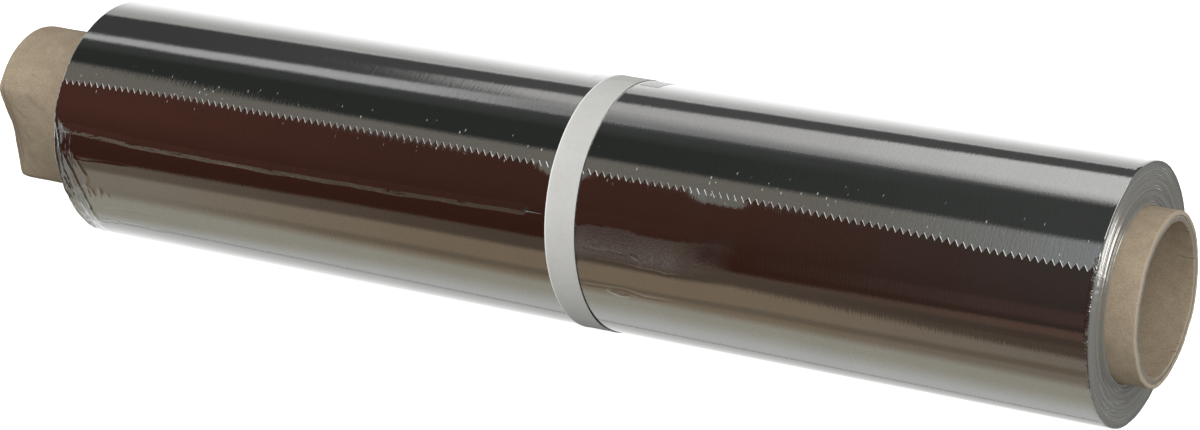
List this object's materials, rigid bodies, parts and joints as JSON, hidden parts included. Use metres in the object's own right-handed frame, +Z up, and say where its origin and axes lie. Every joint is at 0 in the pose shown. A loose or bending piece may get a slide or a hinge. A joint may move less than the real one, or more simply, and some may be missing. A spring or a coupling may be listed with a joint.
{
  "type": "aluminium foil roll",
  "caption": "Catering roll of aluminium foil on a cardboard core, with a torn serrated edge, a paper band, and one crushed core end.",
  "frame": {"origin": "on the surface that the roll lies on, under the middle of its whole length and under the core's axis", "axes": "+X along the roll from the crushed core end to the open one, +Y towards the back, away from the foil's free edge, +Z up"},
  "size_m": [0.336, 0.0663, 0.0657],
  "materials": {
    "core_board": "grey-brown kraft board, matt, with fine fibres",
    "foil": "bright rolled foil with fine rolling lines and creases",
    "band_paper": "matt off-white paper",
    "clear_tape": "thin clear gloss film"
  },
  "bodies": {
    "root": {"core_tube": "core_board", "foil_winding": "foil", "paper_band": "band_paper", "closure_tape": "clear_tape"}
  },
  "joints": []
}
